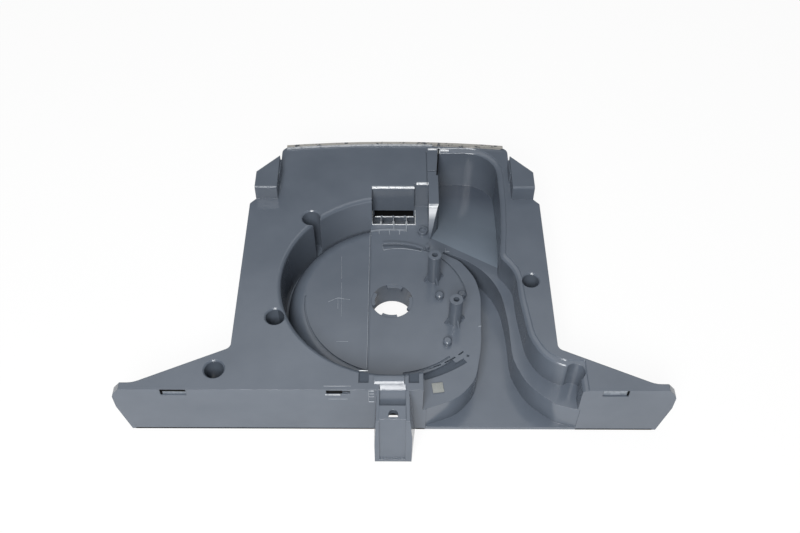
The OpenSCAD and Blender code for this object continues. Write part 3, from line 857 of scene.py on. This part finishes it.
    def build(self, finishes: list[bpy.types.Material]) -> bpy.types.Object:
        """Copy the CAD mesh, join its loose triangles, cut the fine lines and shade it.

        Args:
            finishes: Materials in the order of Finish.

        Returns:
            The finished piece, riding on the body.
        """
        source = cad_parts[self.node]
        piece = bpy.data.objects.new("housing_moulding", source.data.copy())
        bpy.context.scene.collection.objects.link(piece)
        select_only(piece)
        bpy.ops.object.mode_set(mode="EDIT")
        bpy.ops.mesh.select_all(action="SELECT")
        bpy.ops.mesh.remove_doubles(threshold=self.merge_mm * MM)
        bpy.ops.mesh.customdata_custom_splitnormals_clear()
        bpy.ops.object.mode_set(mode="OBJECT")
        self.combine(piece, self.closings(), "UNION")
        self.combine(piece, self.cuts(), "DIFFERENCE")
        select_only(piece)
        bpy.ops.object.mode_set(mode="EDIT")
        bpy.ops.mesh.select_all(action="SELECT")
        bpy.ops.mesh.dissolve_limited(angle_limit=math.radians(self.flat_deg))
        bpy.ops.object.mode_set(mode="OBJECT")
        bpy.ops.object.shade_smooth_by_angle(angle=math.radians(self.smooth_deg))
        weigh = piece.modifiers.new("flat_faces_stay_flat", "WEIGHTED_NORMAL")
        weigh.weight = self.flat_weight
        weigh.keep_sharp = True
        bpy.ops.object.modifier_apply(modifier=weigh.name)
        piece.data.materials.clear()
        for finish in finishes:
            piece.data.materials.append(finish)
        self.paint(piece)
        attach(piece, BODY)
        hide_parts(self.node)
        return piece


@dataclass
class Trims:
    """Fine raised lines, lips and beads on the housing, with painted highlights, and dark solids of painted
    shade.
    """

    edge_mm: float = 0.1
    edge_segments: int = 2
    soften_deg: float = 50.0
    sunk_mm: float = 0.3
    flange_mm: float = 1.4

    def finish(self, parts: list[bpy.types.Object], name: str,
               material: bpy.types.Material) -> bpy.types.Object:
        """Join the parts, soften their edges and dress them.

        Args:
            parts: Solids of one group of trims.
            name: Name of the finished piece.
            material: Its finish.

        Returns:
            The finished piece, riding on the body.
        """
        piece = joined(parts, name)
        soften = piece.modifiers.new("soft_edges", "BEVEL")
        soften.width = self.edge_mm * MM
        soften.segments = self.edge_segments
        soften.limit_method = "ANGLE"
        soften.angle_limit = math.radians(self.soften_deg)
        bpy.ops.object.modifier_apply(modifier=soften.name)
        bpy.ops.object.shade_smooth_by_angle(angle=math.radians(self.soften_deg))
        weigh = piece.modifiers.new("flat_faces_stay_flat", "WEIGHTED_NORMAL")
        bpy.ops.object.modifier_apply(modifier=weigh.name)
        piece.data.materials.clear()
        piece.data.materials.append(material)
        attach(piece, BODY)
        return piece

    def line(self, points: list[Place], width: float, height: float) -> bpy.types.Object:
        """Raise a line on the platform."""
        return prism(stroke(points, width), LEDGE - self.sunk_mm, LEDGE + height)

    def niche(self) -> list[bpy.types.Object]:
        """Make the lips round the trough of the niche and the tie ribs across it.

        Returns:
            The beads.
        """
        left, right = -14.6, 13.5
        lip = LEDGE - 0.1
        parts = [
            rod((left, 139.5, lip), (13.6, 139.5, lip), 0.45),
            rod((-13.0, 151.3, LEDGE - 5.4), (12.7, 151.3, LEDGE - 5.4), 0.45),
            rod((right, 139.5, lip), (right, 152.2, lip), 0.3),
            rod((left, 139.5, lip), (left, 152.2, lip), 0.25),
        ]
        for x in (-9.0, -0.7, 7.8):
            parts.append(rod((x, 151.0, LEDGE - 5.5), (x, 140.0, LEDGE - 1.6), 0.28))
            parts.append(rod((x, 144.2, LEDGE - 2.7), (x, 141.6, LEDGE - 1.8), 0.85))
        return parts

    def platform(self) -> list[bpy.types.Object]:
        """Make the raised lines on the platform: the joint, the frame of the band and the fitting marks.

        Returns:
            The lines and the bead on the platform's edge.
        """
        outer = arc(DISC_CENTRE, 46.0, 98.0, 65.0)
        inner = arc(DISC_CENTRE, 41.1, 98.0, 65.0, end_radius=43.6)
        lines = [
            ([(-15.9, 133.0), (-15.9, 28.0)], 0.4, 0.25),
            (outer, 0.45, 0.3),
            (inner, 0.4, 0.25),
            ([inner[0], outer[0]], 0.4, 0.3),
            ([inner[-1], outer[-1]], 0.4, 0.3),
            ([(-33.5, 112.0), (-32.9, 94.0)], 0.3, 0.12),
            ([(-32.8, 91.0), (-31.9, 64.8)], 0.3, 0.12),
            ([(-40.3, 75.9), (-34.6, 79.0), (-27.2, 77.5)], 0.4, 0.15),
            ([(-34.6, 79.0), (-34.3, 70.6)], 0.3, 0.15),
            ([(-34.2, 46.5), (-27.3, 46.5)], 0.35, 0.15),
            ([(32.4, 119.2), (32.5, 116.6), (35.0, 116.4)], 0.4, 0.3),
        ]
        parts = [self.line(*line) for line in lines]
        parts.append(rod((50.4, 57.9, LEDGE), (52.0, 57.9, LEDGE), 0.6))
        return parts

    def front_edge(self) -> list[bpy.types.Object]:
        """Make the pale lines along the front edge, at the catch and on the ladder beside the tongue, as
        painted highlights.

        Returns:
            The beads.
        """
        behind, edge = 0.28, DECK - 0.28
        parts = [
            rod((-149.0, behind, edge), (-132.0, behind, edge), 0.27),
            rod((-112.0, behind, edge), (-38.5, behind, edge), 0.27),
            rod((-36.2, 0.1, 32.5), (-25.3, 0.1, 32.5), 0.25),
            rod((-38.4, 2.4, DECK - 0.1), (-23.4, 2.4, DECK - 0.1), 0.25),
            rod((-13.9, 0.0, 41.6), (-13.9, 0.0, 29.6), 0.28),
        ]
        for height, radius in ((41.0, 0.5), (38.0, 0.3), (35.0, 0.3), (30.0, 0.45)):
            parts.append(rod((-14.0, 0.0, height), (-11.0, 0.0, height), radius))
        return parts

    def highlight_edges(self) -> list[bpy.types.Object]:
        """Make the beads of painted highlight on the edges of the catch, of the recess left of the ridge and
        of the divider's rear end.

        Returns:
            The beads.
        """
        rear = DECK - 0.4
        return [
            rod((-37.6, 0.1, 36.9), (-29.4, 0.1, 36.9), 0.38),
            rod((-19.4, 12.5, DECK - 0.2), (-14.4, 12.5, DECK - 0.2), 0.3),
            rod((21.9, 188.4, rear), (28.0, 188.4, rear), 1.1),
            rod((30.2, 187.8, rear), (36.0, 187.5, rear), 1.0),
        ]

    def deep_shade(self) -> list[bpy.types.Object]:
        """Make dark solids as painted shade: the unlit insides of the hook slots, of the catch and of the
        slot in the divider, a dark slab below the tongue's hole and a painted shadow along the foot of the
        front face.

        Returns:
            The solids.
        """
        slot_left, slot_right = HOOK_X[0] - 7.05, HOOK_X[0] + 7.05
        far_end = HOOK_X[1] + HOOK_WIDTH / 2
        depth = (0.45, 1.3)
        jamb = 0.9
        foot = 36.1
        under_deck = DECK - 0.3
        parts = [
            block((slot_left, slot_right), depth, 39.0, under_deck),
            block((slot_left, slot_left + jamb), depth, foot, 40.0),
            block((far_end - jamb, far_end - 0.05), depth, foot, under_deck),
            block((-36.9, -28.3), (0.25, 1.6), 37.8, 41.1),
            # A dark slab below the tongue's hole, as painted shade.
            block((-4.5, 3.2), (-12.1, -9.8), 36.0, 37.0),
            prism(stroke([(29.3, 189.2), (27.6, 164.5)], 0.8), DECK - 2.5, DECK + 0.05),
        ]
        # A painted contact shadow: a dark strip along the foot of the front face.
        for span in ((-148.5, -11.7), (12.4, 17.6), (104.3, 148.5)):
            parts.append(block(span, (-0.12, 0.2), 0.0, 1.0))
        return parts

    def ear_flanges(self) -> list[bpy.types.Object]:
        """Make the walls by which the ears stand on the edge of the deck.

        Returns:
            The right wall and the left wall.
        """
        profile = ((156.8, 41.5), (171.0, 41.5), (171.0, 48.9), (156.8, 51.0))
        across = Vector((self.flange_mm * MM, 0.0, 0.0))
        return [extruded("flange", [at(x, y, z) for y, z in profile], across) for x in (73.8, -75.2)]

    def build(self, finishes: list[bpy.types.Material]) -> list[bpy.types.Object]:
        """Make every group of trims.

        Args:
            finishes: Materials in the order of Finish.

        Returns:
            The finished pieces.
        """
        # The lips, lines and edges carry painted highlights, deep_shade is painted shade, and the ear flanges
        # are skin.
        groups = (
            ("niche_lips", self.niche, Finish.BURNISHED),
            ("platform_lines", self.platform, Finish.WORN),
            ("front_edge_lines", self.front_edge, Finish.WORN),
            ("highlight_edges", self.highlight_edges, Finish.BURNISHED),
            ("deep_shade", self.deep_shade, Finish.CAVITY),
            ("ear_flanges", self.ear_flanges, Finish.SKIN),
        )
        return [self.finish(make(), name, finishes[look.value]) for name, make, look in groups]


@dataclass
class FoamPad:
    """The square of adhesive foam on the ledge, with its soft cut edges."""

    node: str = "foam_pad"
    merge_mm: float = 0.001
    flat_deg: float = 1.0
    smooth_deg: float = 40.0
    edge_mm: float = 0.3
    edge_segments: int = 3

    def build(self, finish: bpy.types.Material) -> bpy.types.Object:
        """Copy the pad's CAD mesh and round its edges.

        Args:
            finish: The foam that it is cut from.

        Returns:
            The finished pad, riding on the body.
        """
        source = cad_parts[self.node]
        piece = bpy.data.objects.new("adhesive_foam_pad", source.data.copy())
        bpy.context.scene.collection.objects.link(piece)
        select_only(piece)
        bpy.ops.object.mode_set(mode="EDIT")
        bpy.ops.mesh.select_all(action="SELECT")
        bpy.ops.mesh.remove_doubles(threshold=self.merge_mm * MM)
        bpy.ops.mesh.dissolve_limited(angle_limit=math.radians(self.flat_deg))
        bpy.ops.mesh.bevel(offset=self.edge_mm * MM, segments=self.edge_segments, affect="EDGES")
        bpy.ops.object.mode_set(mode="OBJECT")
        bpy.ops.object.shade_smooth_by_angle(angle=math.radians(self.smooth_deg))
        piece.data.materials.clear()
        piece.data.materials.append(finish)
        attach(piece, BODY)
        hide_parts(self.node)
        return piece


def main() -> None:
    """Build the studio and every piece of the part, in order."""
    logging.basicConfig(level=logging.INFO, format="%(message)s")
    Studio().build()
    # The skin is the plastic's own colour; every other finish is painted light: highlights, the rim's
    # reflection and shade.
    looks = {
        Finish.SKIN: SatinAbs(),
        Finish.BURNISHED: PaintedHighlightAbs(),
        Finish.CAVITY: PaintedShadeAbs(),
        Finish.RUBBED: PaintedRimReflection(),
        # A dimmer painted highlight on the raised lines, the beads along the front edge and the slots' back
        # walls.
        Finish.WORN: PaintedHighlightAbs(name="painted_line_highlight_abs", base="878e97", dim_patches="717982", roughness=0.22),
        # Painted shade, lighter than in the slots, on the floors and walls of shallow recesses.
        Finish.RECESS: PaintedShadeAbs(name="painted_recess_shade_abs", base="454c56", grain="4f5761", roughness=0.6),
        # Painted highlight on the divider's nose, brightest near its top and darker below.
        Finish.NOSE: GradedPaintedLight("nose_painted_highlight_abs", Axis.Z, 24.0, 41.0,
                               ((0.0, "5c646f"), (0.8, "dfe2e6"), (0.55, "8f959d"))),
        # Painted light and shade on the pocket's ramp, paler at the front and darker towards the back.
        Finish.RAMP: GradedPaintedLight("ramp_painted_shading_abs", Axis.Y, 40.0, 88.0,
                               ((0.0, "737e8a"), (1.0, "4b525d"), (0.4, "69737e"))),
        # Painted shade on the bowl's wall, darkest at the left and paler to the right.
        Finish.BOWL: GradedPaintedLight("bowl_painted_shading_abs", Axis.X, -66.0, -22.0,
                               ((0.0, "4a515b"), (1.0, "707883"), (0.6, "646c77"))),
    }
    finishes = [looks[finish].make() for finish in Finish]
    pieces = [HousingShell().build(finishes), FoamPad().build(OpenCellFoam().make())]
    pieces += Trims().build(finishes)
    for piece in pieces:
        LOG.info("built %s: %d faces", piece.name, len(piece.data.polygons))


if __name__ == "__main__":
    main()
